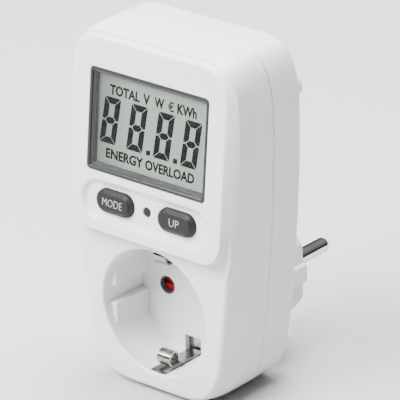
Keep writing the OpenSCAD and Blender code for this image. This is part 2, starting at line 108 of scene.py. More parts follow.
class NodeBench:
    """Lays out the nodes of one procedural material round its Principled shader."""

    def __init__(self, name: str) -> None:
        """Starts a material with a Principled shader and Object coordinates.

        Args:
            name: the material's name.
        """
        self.material = bpy.data.materials.new(name)
        self.material.use_nodes = True
        self.tree = self.material.node_tree
        self.shader = self.tree.nodes["Principled BSDF"]
        self.place = self.node("ShaderNodeTexCoord").outputs["Object"]

    def node(self, kind: str, **settings: object) -> bpy.types.Node:
        """Adds a node and sets its properties.

        Args:
            kind: the node's type name.
            settings: property names and values.

        Returns:
            The new node.
        """
        made = self.tree.nodes.new(kind)
        for key, value in settings.items():
            setattr(made, key, value)
        return made

    def link(self, source: bpy.types.NodeSocket, target: Socket) -> None:
        """Joins two sockets."""
        self.tree.links.new(source, target)

    def noise(
        self, scale: float, detail: float = 3.0, stretch: Sequence[float] = (1.0, 1.0, 1.0)
    ) -> Socket:
        """Adds a noise pattern on the piece.

        Args:
            scale: cells per metre.
            detail: octaves of finer noise.
            stretch: how much the pattern is squeezed along each axis.

        Returns:
            The noise's value socket.
        """
        mapping = self.node("ShaderNodeMapping")
        mapping.inputs["Scale"].default_value = stretch
        self.link(self.place, mapping.inputs["Vector"])
        made = self.node("ShaderNodeTexNoise")
        made.inputs["Scale"].default_value = scale
        made.inputs["Detail"].default_value = detail
        self.link(mapping.outputs["Vector"], made.inputs["Vector"])
        return made.outputs["Fac"]

    def remap(self, pattern: Socket, **limits: float) -> Socket:
        """Maps a pattern on to another range.

        Args:
            pattern: the pattern's value socket.
            limits: the Map Range sockets to set, with underscores for spaces.

        Returns:
            The mapped value socket.
        """
        made = self.node("ShaderNodeMapRange")
        for key, value in limits.items():
            made.inputs[key.replace("_", " ")].default_value = value
        self.link(pattern, made.inputs["Value"])
        return made.outputs["Result"]

    def tint(self, pattern: Socket, stops: Stops) -> None:
        """Colours the surface by a pattern.

        Args:
            pattern: the pattern's value socket.
            stops: positions and linear RGB colours.
        """
        made = self.node("ShaderNodeValToRGB")
        set_stops(made.color_ramp, stops)
        self.link(pattern, made.inputs["Fac"])
        self.link(made.outputs["Color"], self.shader.inputs["Base Color"])

    def gloss(self, pattern: Socket, low: float, high: float) -> None:
        """Varies the roughness by a pattern.

        Args:
            pattern: the pattern's value socket.
            low: roughness where the pattern is low.
            high: roughness where the pattern is high.
        """
        rough = self.remap(
            pattern, From_Min=NOISE_LOW, From_Max=NOISE_HIGH, To_Min=low, To_Max=high)
        self.link(rough, self.shader.inputs["Roughness"])

    def relief(self, value: Socket, height_mm: float) -> None:
        """Raises a pattern on the surface.

        Args:
            value: the pattern.
            height_mm: depth of the relief in millimetres.
        """
        made = self.node("ShaderNodeBump")
        made.inputs["Strength"].default_value = 1.0
        made.inputs["Distance"].default_value = height_mm * MM
        self.link(value, made.inputs["Height"])
        self.link(made.outputs["Normal"], self.shader.inputs["Normal"])

    def fixed(self, **values: object) -> None:
        """Sets shader sockets whose value is the same all over.

        Args:
            values: socket names with underscores for spaces, and their values.
        """
        for key, value in values.items():
            self.shader.inputs[key.replace("_", " ")].default_value = value


@dataclass(frozen=True)
class MouldedPlastic:
    """Injection-moulded plastic: slight cloudiness, uneven gloss and a fine spark-eroded grain."""

    name: str
    colour: Colour
    roughness: float = 0.38
    cloud: float = 0.03
    grain_per_metre: float = 1600.0
    grain_mm: float = 0.012
    clearcoat: float = 0.0
    shine: float = 0.5

    def make(self) -> bpy.types.Material:
        """Builds the material.

        Returns:
            The finished material.
        """
        bench = NodeBench(self.name)
        dark = tuple(c * (1 - self.cloud) for c in self.colour)
        light = tuple(min(1.0, c * (1 + self.cloud)) for c in self.colour)
        bench.tint(bench.noise(60, 4), [(NOISE_LOW, dark), (NOISE_HIGH, light)])
        bench.gloss(bench.noise(220, 5), self.roughness - 0.05, self.roughness + 0.06)
        bench.relief(bench.noise(self.grain_per_metre, 2), self.grain_mm)
        bench.fixed(
            Coat_Weight=self.clearcoat, Coat_Roughness=0.12, Specular_IOR_Level=self.shine)
        return bench.material


@dataclass(frozen=True)
class BareMetal:
    """Rolled, turned or plated metal with fine draw lines and faint smudges."""

    name: str
    colour: Colour
    roughness: float = 0.2
    line_stretch: tuple[float, float, float] = (1.0, 0.03, 1.0)
    line_mm: float = 0.004

    def make(self) -> bpy.types.Material:
        """Builds the material.

        Returns:
            The finished material.
        """
        bench = NodeBench(self.name)
        dark = tuple(c * 0.86 for c in self.colour)
        bench.tint(bench.noise(180, 4), [(0.35, dark), (0.65, self.colour)])
        bench.gloss(
            bench.noise(900, 3, self.line_stretch), self.roughness * 0.7, self.roughness * 1.4)
        bench.relief(bench.noise(2500, 2, self.line_stretch), self.line_mm)
        bench.fixed(Metallic=1.0)
        return bench.material


@dataclass(frozen=True)
class DisplayGlass:
    """Reflective LCD glass: grey-green polariser film, with painted shade darkening it towards its
    left end.
    """

    name: str
    light: Colour = (0.200, 0.240, 0.202)
    # the darker colour is painted shade at the left end of the display
    dark: Colour = (0.095, 0.113, 0.096)
    shade_from: float = -0.021
    shade_to: float = -0.008

    def make(self) -> bpy.types.Material:
        """Builds the material.

        Returns:
            The finished material.
        """
        bench = NodeBench(self.name)
        split = bench.node("ShaderNodeSeparateXYZ")
        bench.link(bench.place, split.inputs["Vector"])
        # painted shade: the colour runs from dark at the left end to light, standing in for the
        # shade on that side
        across = bench.remap(split.outputs["X"], From_Min=self.shade_from, From_Max=self.shade_to)
        bench.tint(across, [(0.0, self.dark), (1.0, self.light)])
        bench.gloss(bench.noise(400, 3), 0.30, 0.34)
        bench.relief(bench.noise(3000, 1), 0.001)
        bench.fixed(Coat_Weight=0.1, Coat_Roughness=0.1)
        return bench.material


@dataclass(frozen=True)
class ClearWindow:
    """Thin clear acrylic: nearly all transparent, with faint haze."""

    name: str
    cover: float = 0.05

    def make(self) -> bpy.types.Material:
        """Builds the material.

        Returns:
            The finished material.
        """
        bench = NodeBench(self.name)
        bench.tint(
            bench.noise(150, 4),
            [(NOISE_LOW, (0.02, 0.022, 0.022)), (NOISE_HIGH, (0.035, 0.038, 0.037))])
        bench.gloss(bench.noise(300, 4), 0.05, 0.07)
        bench.fixed(Alpha=self.cover, IOR=1.49)
        return bench.material


@dataclass(frozen=True)
class CircuitBoard:
    """Glass-fibre board under solder resist, with a weave and dark copper areas."""

    name: str

    def make(self) -> bpy.types.Material:
        """Builds the material.

        Returns:
            The finished material.
        """
        bench = NodeBench(self.name)
        tracks = bench.node("ShaderNodeTexVoronoi", distance="CHEBYCHEV")
        tracks.inputs["Scale"].default_value = 260
        bench.link(bench.place, tracks.inputs["Vector"])
        bench.tint(
            tracks.outputs["Distance"], [(0.30, (0.02, 0.12, 0.05)), (0.42, (0.05, 0.22, 0.09))])
        bench.gloss(bench.noise(700, 2), 0.25, 0.4)
        bench.relief(tracks.outputs["Distance"], 0.03)
        return bench.material


# Plastics: name, colour, roughness, cloud, grain per metre, grain in mm, clearcoat, shine.
# Metals: name, colour, roughness, line stretch, line in mm.
FINISHES = {
    "shell": MouldedPlastic("satin_white_plastic", (0.70, 0.707, 0.72), 0.36, 0.012, 1500, 0.008),
    "key": MouldedPlastic(
        "dark_grey_key_plastic", (0.011, 0.0113, 0.012), 0.45, 0.10, 2600, 0.02, 0.0, 0.25),
    "bezel": MouldedPlastic(
        "gloss_grey_bezel", (0.013, 0.0135, 0.0145), 0.22, 0.06, 900, 0.003, 0.08, 0.3),
    "well": MouldedPlastic(
        "grey_well_plastic", (0.060, 0.064, 0.064), 0.18, 0.05, 900, 0.002, 0.2),
    # painted shade: the grey of the rings that stand for the shadow at the contact holes' lips
    "hole_shade": MouldedPlastic("painted_hole_shade", (0.09, 0.085, 0.09), 0.40, 0.08, 1500, 0.01),
    "ink": MouldedPlastic("white_print", (0.55, 0.55, 0.56), 0.5, 0.04, 3000, 0.01),
    "segment": MouldedPlastic(
        "display_segment", (0.002, 0.0026, 0.0023), 0.60, 0.10, 1200, 0.002, 0.0, 0.1),
    "glass": DisplayGlass("display_glass"),
    "window": ClearWindow("clear_window"),
    "red": MouldedPlastic("red_shutter_plastic", (0.36, 0.010, 0.018), 0.30, 0.08, 1400, 0.01),
    "black": MouldedPlastic("black_plastic", (0.02, 0.02, 0.022), 0.45, 0.15, 1400, 0.02),
    "natural": MouldedPlastic("natural_nylon", (0.62, 0.60, 0.53), 0.45, 0.04, 900, 0.015),
    "yellow": MouldedPlastic(
        "yellow_capacitor_plastic", (0.72, 0.50, 0.04), 0.35, 0.06, 1000, 0.01),
    "blue": MouldedPlastic("blue_dipped_resin", (0.03, 0.10, 0.42), 0.25, 0.10, 500, 0.05),
    "rubber": MouldedPlastic("striped_rubber", (0.30, 0.10, 0.13), 0.6, 0.35, 5000, 0.02),
    "cable": MouldedPlastic("grey_ribbon_sleeve", (0.35, 0.35, 0.36), 0.5, 0.08, 1200, 0.02),
    "sleeve": MouldedPlastic("shrink_sleeve", (0.05, 0.06, 0.12), 0.3, 0.12, 700, 0.01),
    "resistor": MouldedPlastic("resistor_lacquer", (0.20, 0.42, 0.50), 0.35, 0.10, 900, 0.02),
    "board": CircuitBoard("green_circuit_board"),
    "nickel": BareMetal("polished_nickel", (0.80, 0.79, 0.77), 0.10),
    "steel": BareMetal("plated_spring_steel", (0.36, 0.35, 0.33), 0.20, (1.0, 0.08, 1.0), 0.006),
    "brass": BareMetal("pressed_brass", (0.76, 0.56, 0.24), 0.22),
    "shunt": BareMetal("shunt_alloy", (0.60, 0.42, 0.30), 0.30),
    "zinc": BareMetal("zinc_screw", (0.60, 0.60, 0.60), 0.26, (1.0, 1.0, 1.0)),
}


@cache
def paint(key: str) -> bpy.types.Material:
    """Gives the material of a finish, made on first use."""
    return FINISHES[key].make()


# ---------------------------------------------------------------- shaping


def at(x: float, depth: float, z: float) -> Vector:
    """Gives the point at a depth behind the socket face, in millimetres."""
    return Vector((x, FACE_Y + depth, z))


def smoothstep(value: float, low: float, high: float) -> float:
    """Eases from 0 at low to 1 at high."""
    t = min(1.0, max(0.0, (value - low) / (high - low)))
    return t * t * (3 - 2 * t)


def bend(a: Vector, corner: Vector, b: Vector, t: float) -> Vector:
    """Gives a point on the round that replaces a corner between a and b."""
    return a * (1 - t) ** 2 + corner * 2 * t * (1 - t) + b * t * t


def arc(
    centre: tuple[float, float], radius: float, start: float, end: float, steps: int
) -> list[tuple[float, float]]:
    """Gives the points of an arc.

    Args:
        centre: its centre.
        radius: its radius.
        start: direction of its first point, in degrees.
        end: direction of its last point, in degrees.
        steps: how many chords it has.

    Returns:
        The points, in order.
    """
    turns = [math.radians(start + (end - start) * i / steps) for i in range(steps + 1)]
    return [(centre[0] + radius * math.cos(t), centre[1] + radius * math.sin(t)) for t in turns]


def rounded_loop(
    half_w: float, half_h: float, radius: float, steps: int = 8
) -> list[tuple[float, float]]:
    """Gives a rounded rectangle as points, centred on the origin.

    Args:
        half_w: half its width.
        half_h: half its height.
        radius: radius of its corners.
        steps: steps in each corner.

    Returns:
        The points, in order.
    """
    points = []
    for turn, (sx, sy) in enumerate([(1, 1), (-1, 1), (-1, -1), (1, -1)]):
        corner = (sx * (half_w - radius), sy * (half_h - radius))
        points += arc(corner, radius, 90 * turn, 90 * turn + 90, steps)
    return points


def soften(
    bm: Mesh, edges: Sequence[bmesh.types.BMEdge], radius: float, segments: int,
    clamp_overlap: bool = False,
) -> None:
    """Rounds edges.

    Args:
        bm: the mesh, which is changed.
        edges: the edges to round.
        radius: how far the round reaches from each edge.
        segments: steps in each round.
        clamp_overlap: whether rounds that would meet are held back.
    """
    bmesh.ops.bevel(
        bm, geom=edges, offset=radius, segments=segments, profile=0.5, affect="EDGES", material=-1,
        clamp_overlap=clamp_overlap)


def thicken(bm: Mesh, faces: Sequence[bmesh.types.BMFace]) -> None:
    """Gives flat shapes the thickness of printed film.

    Args:
        bm: the mesh, which is changed.
        faces: the flat faces.
    """
    grown = bmesh.ops.extrude_face_region(bm, geom=faces)["geom"]
    back = [g for g in grown if isinstance(g, bmesh.types.BMVert)]
    bmesh.ops.translate(bm, vec=(0, FILM, 0), verts=back)


def to_mesh(bm: Mesh, name: str) -> bpy.types.Mesh:
    """Turns work in progress into mesh data.

    Args:
        bm: the work, which is freed.
        name: the name of the data.

    Returns:
        The mesh data.
    """
    mesh = bpy.data.meshes.new(name)
    bm.to_mesh(mesh)
    bm.free()
    return mesh


def put_in_scene(name: str, data: bpy.types.ID) -> bpy.types.Object:
    """Makes a scene object.

    Args:
        name: its name.
        data: its mesh, text, light or camera.

    Returns:
        The object.
    """
    made = bpy.data.objects.new(name, data)
    bpy.context.scene.collection.objects.link(made)
    return made


def skin(rings: Sequence[Loop], closed: bool = False) -> Mesh:
    """Skins a row of matching loops by drawing the first one out through the others.

    Args:
        rings: the loops, each with the same number of points.
        closed: whether the last loop joins the first; otherwise both ends are capped.

    Returns:
        A closed mesh in millimetres.
    """
    bm = bmesh.new()
    verts = [bm.verts.new(p) for p in rings[0]]
    edges = [bm.edges.new((verts[i - 1], verts[i])) for i in range(len(verts))]
    start = list(edges)
    for ring in rings[1:] + ([rings[0]] if closed else []):
        order = {v: i for i, v in enumerate(verts)}
        grown = bmesh.ops.extrude_edge_only(bm, edges=edges)["geom"]
        fresh: list[bmesh.types.BMVert] = [verts[0]] * len(verts)
        for v in (g for g in grown if isinstance(g, bmesh.types.BMVert)):
            for e in v.link_edges:
                other = e.other_vert(v)
                if other in order:
                    fresh[order[other]] = v
        for v, p in zip(fresh, ring):
            v.co = p
        verts = fresh
        edges = [g for g in grown if isinstance(g, bmesh.types.BMEdge)]
        edges = [e for e in edges if e.verts[0] not in order and e.verts[1] not in order]
    if closed:
        bmesh.ops.remove_doubles(bm, verts=bm.verts, dist=1e-5)
    else:
        bmesh.ops.edgeloop_fill(bm, edges=start)
        bmesh.ops.edgeloop_fill(bm, edges=edges)
    bmesh.ops.recalc_face_normals(bm, faces=bm.faces)
    return bm


def turned(profile: Points, x: float, z: float, steps: int = 48) -> Mesh:
    """Turns a profile about an axis along the depth.

    Args:
        profile: radius and depth pairs from one end of the axis to the other.
        x: the axis's place across.
        z: the axis's height.
        steps: facets round the turn.

    Returns:
        A closed mesh in millimetres.
    """
    bm = bmesh.new()
    verts = [bm.verts.new(at(x + r, d, z)) for r, d in profile]
    edges = [bm.edges.new(pair) for pair in zip(verts, verts[1:])]
    bmesh.ops.spin(
        bm, geom=verts + edges, cent=at(x, 0, z), axis=(0, 1, 0), angle=math.tau, steps=steps,
        use_merge=True)
    bmesh.ops.remove_doubles(bm, verts=bm.verts, dist=1e-4)
    bmesh.ops.recalc_face_normals(bm, faces=bm.faces)
    return bm


def slab(outline: Points, depth0: float, depth1: float) -> Mesh:
    """Draws an outline of x and z straight through between two depths.

    Args:
        outline: points across and up.
        depth0: nearer depth.
        depth1: farther depth.

    Returns:
        A closed mesh in millimetres.
    """
    return skin([[at(x, depth0, z) for x, z in outline], [at(x, depth1, z) for x, z in outline]])


def block(
    size: tuple[float, float, float], centre: Vector, bevel: float = 0.0, segments: int = 3
) -> Mesh:
    """Makes a box with rounded edges.

    Args:
        size: its extent along each axis.
        centre: its middle.
        bevel: radius of its edges.
        segments: steps in each rounded edge.

    Returns:
        A closed mesh in millimetres.
    """
    bm = bmesh.new()
    bmesh.ops.create_cube(bm, size=1.0)
    bmesh.ops.scale(bm, vec=size, verts=bm.verts)
    if bevel:
        soften(bm, bm.edges[:], bevel, segments)
    bmesh.ops.translate(bm, vec=centre, verts=bm.verts)
    return bm


def moved(bm: Mesh, matrix: Matrix) -> Mesh:
    """Places a mesh and gives it back."""
    bmesh.ops.transform(bm, matrix=matrix, verts=bm.verts)
    return bm


class Blank:
    """A shape under work in millimetres, before it becomes a finished piece."""

    def __init__(self, bm: Mesh) -> None:
        """Puts a mesh on the bench.

        Args:
            bm: the starting shape, which is used up.
        """
        self.item = put_in_scene("bench", to_mesh(bm, "bench"))

    @staticmethod
    def _discard(item: bpy.types.Object) -> None:
        """Removes an object and its mesh.

        Args:
            item: the object.
        """
        spent = item.data
        bpy.data.objects.remove(item)
        bpy.data.meshes.remove(spent)

    def carve(self, how: Carve, *tools: Mesh) -> "Blank":
        """Adds or cuts away tool shapes.

        Args:
            how: join or take.
            tools: closed meshes, which are used up.

        Returns:
            This blank.
        """
        for shape in tools:
            tool = put_in_scene("tool", to_mesh(shape, "tool"))
            step = self.item.modifiers.new("carve", "BOOLEAN")
            step.operation, step.solver, step.object = how.value, "EXACT", tool
            graph = bpy.context.evaluated_depsgraph_get()
            mesh = bpy.data.meshes.new_from_object(self.item.evaluated_get(graph))
            self.item.modifiers.clear()
            old, self.item.data = self.item.data, mesh
            bpy.data.meshes.remove(old)
            self._discard(tool)
        return self

    def edit(self, work: Callable[[Mesh], None]) -> "Blank":
        """Runs mesh work on the blank.

        Args:
            work: what to do to its mesh.

        Returns:
            This blank.
        """
        bm = bmesh.new()
        bm.from_mesh(self.item.data)
        work(bm)
        bm.to_mesh(self.item.data)
        bm.free()
        return self

    def mesh(self) -> Mesh:
        """Takes the shape off the bench.

        Returns:
            Its mesh.
        """
        bm = bmesh.new()
        bm.from_mesh(self.item.data)
        self._discard(self.item)
        return bm


def piece(
    bm: Mesh,
    name: str,
    finish: str,
    body: Body,
    replaces: Sequence[str] = (),
    smooth_deg: float = 35.0,
) -> None:
    """Finishes a mesh as a named piece of the meter.

    Args:
        bm: the shape in millimetres, which is used up.
        name: the piece's name.
        finish: its key in FINISHES.
        body: the body it rides on.
        replaces: CAD nodes that it stands for.
        smooth_deg: edges sharper than this stay crisp.
    """
    bmesh.ops.remove_doubles(bm, verts=bm.verts, dist=2e-4)
    bmesh.ops.dissolve_degenerate(bm, edges=bm.edges, dist=1e-4)
    for face in bm.faces:
        face.smooth = True
    crisp = math.radians(smooth_deg)
    for edge in bm.edges:
        edge.smooth = len(edge.link_faces) == 2 and edge.calc_face_angle(0.0) < crisp
    bmesh.ops.scale(bm, vec=(MM, MM, MM), verts=bm.verts)
    mesh = to_mesh(bm, name)
    made = put_in_scene(name, mesh)
    shading = made.modifiers.new("even_shading", "WEIGHTED_NORMAL")
    shading.keep_sharp, shading.weight = True, 80
    mesh.materials.append(paint(finish))
    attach(made, body.value)
    if replaces:
        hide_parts(*replaces)
    log.info("%s: %d faces on %s", name, len(mesh.polygons), body.value)


# ---------------------------------------------------------------- housing


@dataclass(frozen=True)
class PanelFrame:
    """The tilted display panel's own axes: x across, w inwards, v up the slope."""

    tilt_deg: float = 6.8
    out: float = 0.6
    height: float = 51.0

    def matrix(self) -> Matrix:
        """Gives the panel's place."""
        tilt = Matrix.Rotation(-math.radians(self.tilt_deg), 4, "X")
        return Matrix.Translation((0, FACE_Y - self.out, self.height)) @ tilt

    def depth(self, z: float) -> float:
        """Gives the panel plane's depth at a height."""
        return -self.out + (z - self.height) * math.tan(math.radians(self.tilt_deg))

    def ring(self, outline: Points, x: float, w: float, v: float) -> Loop:
        """Places an outline on the panel.

        Args:
            outline: points across and up, about the outline's centre.
            x: the centre's place across.
            w: depth below the panel face.
            v: the centre's place up the slope.

        Returns:
            The placed loop.
        """
        place = self.matrix()
        return [place @ Vector((x + px, w, v + pv)) for px, pv in outline]

    def prism(self, outline: Points, w0: float, w1: float, v: float, x: float = 0.0) -> Mesh:
        """Draws an outline straight down through the panel.

        Args:
            outline: points across and up, about the outline's centre.
            w0: depth of its outer end below the panel face.
            w1: depth of its inner end.
            v: the centre's place up the slope.
            x: the centre's place across.

        Returns:
            A closed mesh in millimetres.
        """
        return skin([self.ring(outline, x, w0, v), self.ring(outline, x, w1, v)])


PANEL = PanelFrame()


@dataclass(frozen=True)
class BodyOutline:
    """Front view of both shells: flat top, round shoulders, bowed sides, full round foot."""

    top: float = 82.8
    half_width: float = 32.2
    bottom: float = -26.2

    def points(self, inset: float = 0.0) -> list[tuple[Vector, Vector]]:
        """Gives the outline as points with their inward directions.

        Args:
            inset: how far the outline is drawn in.

        Returns:
            Pairs of point and inward direction, both as x and z.
        """
        top, side, foot = self.top, self.half_width, self.bottom
        runs = [
            ((0, top), (6, top), (13, top), (19.5, top), 4),
            ((19.5, top), (28.5, top), (side, 77), (side, 62), 18),
            ((side, 62), (side, 40), (29.6, 12), (27.3, -3), 26),
            ((27.3, -3), (25.6, -17), (23.6, foot), (9, foot), 22),
            ((9, foot), (6, foot), (3, foot), (0, foot), 3),
        ]
        half: list[Vector] = []
        for a, b, c, d, steps in runs:
            half += [Vector(p) for p in interpolate_bezier(a, b, c, d, steps + 1)[:-1]]
        half.append(Vector((0, foot)))
        half = [Vector((p[0], p[1])) for p in half]
        full = half + [Vector((-p.x, p.y)) for p in reversed(half[1:-1])]
        made = []
        for i, p in enumerate(full):
            run = full[(i + 1) % len(full)] - full[i - 1]
            inward = Vector((run.y, -run.x)).normalized()
            made.append((p + inward * inset, inward))
        return made


OUTLINE = BodyOutline()


@dataclass
class FrontShell:
    """The white front shell: tilted panel, flat socket face, soft bevels and the socket recess."""

    wall: float = 2.0
    bevel_depth: float = 7.2
    bevel_inset: float = 1.5
    bevel_soft: float = 3.2
    face_round: float = 1.9
    panel_half: float = 28.2
    panel_top: float = 80.1
    flank_bulge: float = 0.14
    panel_corner: float = 8.6
    panel_foot: float = 22.9
    foot_corner: float = 6.0
    side_angle: float = -16.0
    recess_r: float = 19.5
    recess_depth: float = 17.0
    recess_wall_r: float = 21.2
    floor_back: float = 18.8
    guide_size: tuple[float, float, float] = (8, 20, 12)
    guide_at: tuple[float, float, float] = (20.88, 12.9, 8.75)
    window_half: tuple[float, float] = (22.2, 15.5)
    window_corner: float = 1.4
    key_hole_half: tuple[float, float] = (7.0, 3.65)
    reset_hole_r: float = 1.55
    clip_slot_half_w: float = 3.0
    clip_slot_span: tuple[float, float] = (14.1, 22.4)
    clip_slot_depths: tuple[float, float] = (0.95, 20.0)

    def _to_panel_edge(self, p: Vector, inward: Vector) -> float:
        """Measures from an outline point inwards to the panel's rounded edge.

        Args:
            p: the outline point.
            inward: direction to measure in.

        Returns:
            The distance.
        """
        t = 0.0
        for _ in range(40):
            q = p + inward * t
            dx = abs(q.x) - (self.panel_half - self.panel_corner)
            dz = q.y - (self.panel_top - self.panel_corner)
            t += math.hypot(max(dx, 0), max(dz, 0)) + min(max(dx, dz), 0) - self.panel_corner
        return t

    def _section(self, p: Vector, inward: Vector, shrink: float) -> Loop:
        """Works out the shell's section from the seam to the panel plane at one outline point.

        Args:
            p: the outline point, already drawn in by shrink.
            inward: the direction across the section.
            shrink: wall thickness taken off, 0 for the outer skin.

        Returns:
            Points of the section as inset and depth.
        """
        high = smoothstep(p.y, 15, 27)
        rim_high = self._to_panel_edge(p - inward * shrink, inward) + shrink * 0.2
        start = self.bevel_depth + shrink * 0.5
        slope = self.bevel_inset / self.bevel_depth
        low_corner = Vector((slope * (start - shrink), shrink))
        low_in = Vector((low_corner.x + self.face_round * 0.72, shrink))
        low_out = Vector((slope * (start - shrink - self.face_round), shrink + self.face_round))
        corner = Vector((0.0, start))
        top_high, top_low = (
            Vector((rim, PANEL.depth(p.y + inward.y * rim) + shrink))
            for rim in (rim_high, low_in.x))
        chord = top_high - corner
        belly = (corner + top_high) / 2 + Vector((chord.y, -chord.x)) * self.flank_bulge
        run_high = (belly - corner).normalized()
        run_low = (low_out - corner).normalized()
        soft = self.bevel_soft
        back = Vector((0.0, start + soft))
        section = [Vector((0.0 if shrink else 0.28, SEAM - 0.1)), Vector((0.0, SEAM - 0.34)), back]
        first_high, first_low = corner + run_high * soft, corner + run_low * soft
        for t in (0.2, 0.4, 0.6, 0.8, 1.0):
            on_high, on_low = (bend(back, corner, end, t) for end in (first_high, first_low))
            section.append(on_high.lerp(on_low, 1 - high))
        rounds = (0.0, 0.25, 0.5, 0.75, 1.0)
        for k, t in enumerate(rounds):
            on_high = bend(first_high, belly, top_high, (k + 1) / (len(rounds) + 1))
            on_low = bend(low_out, low_corner, low_in, t)
            section.append(on_high.lerp(on_low, 1 - high))
        section.append(top_high.lerp(top_low, 1 - high))
        return section

    def _form(self, shrink: float) -> Mesh:
        """Lofts the shell's full form up to the panel plane.

        Args:
            shrink: wall thickness taken off, 0 for the outer skin.

        Returns:
            A closed mesh.
        """
        columns = []
        for p, inward in OUTLINE.points(shrink):
            column = []
            section = self._section(p, inward, shrink)
            for s in section[:-1]:
                q = p + inward * s.x
                column.append(at(q.x, s.y, q.y))
            q = p + inward * section[-1].x
            column.append(at(q.x, PANEL.depth(q.y) + shrink, q.y))
            columns.append(column)
        return skin([[c[k] for c in columns] for k in range(len(columns[0]))])

    def _front_cut(self, shrink: float) -> Mesh:
        """Makes the block that clears the space in front of the socket face, under the panel.

        Args:
            shrink: wall thickness taken off.

        Returns:
            A closed mesh with its inner edge rounded.
        """
        foot, r, clear, run = self.panel_foot + shrink, self.foot_corner, 60, 9
        corner = (self.panel_half - shrink - r, foot + r)
        right = [(0.0, foot)] + arc(corner, r, -90, self.side_angle, 10)
        end = math.radians(self.side_angle)
        right.append((right[-1][0] - math.sin(end) * run, right[-1][1] + math.cos(end) * run))
        right += [(clear, right[-1][1]), (clear, -clear)]
        bm = slab(right + [(-x, z) for x, z in reversed(right[1:])], -20, shrink)
        rim = [e for e in bm.edges if all(abs(v.co.y - FACE_Y - shrink) < 1e-4 for v in e.verts)]
        soften(bm, rim, 0.9, 4)
        return bm

    def _round_panel_rim(self, bm: Mesh) -> None:
        """Rounds the edge round the panel face.

        Args:
            bm: the shell's outer form.
        """
        normal = PANEL.matrix().to_3x3() @ Vector((0, -1, 0))
        facing = (f for f in bm.faces if f.normal.dot(normal) > 0.999)
        face = max(facing, key=lambda f: f.calc_area())
        soften(bm, list(face.edges), 0.85, 4, clamp_overlap=True)

    def _recess(self) -> Mesh:
        """Makes the hollow of the socket: a round well, a soft mouth and four guide blocks.

        Returns:
            A closed mesh to take away.
        """
        r, depth, lip, toe = self.recess_r, self.recess_depth, 0.8, 0.5
        profile = [(0, -6), (r + lip, -6), (r + lip, -0.001)]
        profile += arc((r + lip, lip), lip, -90, -180, 5)[1:]
        profile += arc((r - toe, depth - toe), toe, 0, 90, 4)
        well = Blank(turned(profile + [(0, depth)], 0, 0, 120))
        x, middle, z = self.guide_at
        for side in (-1, 1):
            for half in (-1, 1):
                guide = block(self.guide_size, at(side * x, middle, half * z), 0.4, 3)
                well.carve(Carve.TAKE, guide)
        return well.mesh()

    def _soft_dish(self) -> Mesh:
        """Makes the shallow soft trough that the keys sit in.

        Returns:
            A closed mesh to take away.
        """
        rings = []
        for grow, w in [(1.2, -1.0), (1.15, -0.02), (0.6, 0.06), (0.15, 0.25), (-0.2, 0.6),
                        (-0.5, 0.95), (-0.9, 1.27), (-1.5, 1.45), (-2.3, 1.5)]:
            half_h = 5.8 + grow
            outline = rounded_loop(23.5 + grow, half_h, half_h - 0.01, 14)
            rings.append(PANEL.ring(outline, 0, w, -18.75))
        return skin(rings)

    def _holes(self) -> list[Mesh]:
        """Makes the window, the key and reset holes, the contact holes and the earth clips' slots.

        Returns:
            Closed meshes to take away.
        """
        corner, slot = self.window_corner, self.clip_slot_half_w
        key_w, key_h = self.key_hole_half
        reset_r = self.reset_hole_r
        key_hole = rounded_loop(key_w, key_h, key_h - 0.01, 12)
        bore = [(0, 16), (3.15, 16), (3.15, 16.99), (2.85, 17.3), (2.85, 20), (0, 20)]
        holes = [PANEL.prism(rounded_loop(*self.window_half, corner), -2, 3, WINDOW_V)]
        holes += [PANEL.prism(key_hole, -1, 5, KEY_V, x) for x in (-KEY_X, KEY_X)]
        holes.append(PANEL.prism(rounded_loop(reset_r, reset_r, reset_r - 0.001, 8), -1, 5, KEY_V))
        holes += [turned(bore, x, 0, 40) for x in (-HOLE_X, HOLE_X)]
        for side in (-1, 1):
            low, high = sorted(side * z for z in self.clip_slot_span)
            outline = [(-slot, low), (slot, low), (slot, high), (-slot, high)]
            holes.append(slab(outline, *self.clip_slot_depths))
        return holes

    def build(self) -> None:
        """Builds and dresses the front shell."""
        shell = Blank(self._form(0.0)).carve(Carve.TAKE, self._front_cut(0.0))
        shell.edit(self._round_panel_rim)
        inner = Blank(self._form(self.wall)).carve(Carve.TAKE, self._front_cut(self.wall))
        shell.carve(Carve.TAKE, inner.mesh())
        r, back = self.recess_wall_r, self.floor_back
        shell.carve(Carve.JOIN, turned([(0, 1), (r, 1), (r, back), (0, back)], 0, 0, 120))
        shell.carve(Carve.JOIN, PANEL.prism(rounded_loop(25, 6.6, 5), 1.9, 3.5, -18.95))
        shell.carve(Carve.TAKE, self._recess(), self._soft_dish(), *self._holes())
        piece(
            shell.mesh(), "front_housing", "shell", Body.HOUSING, ["front_shell"])


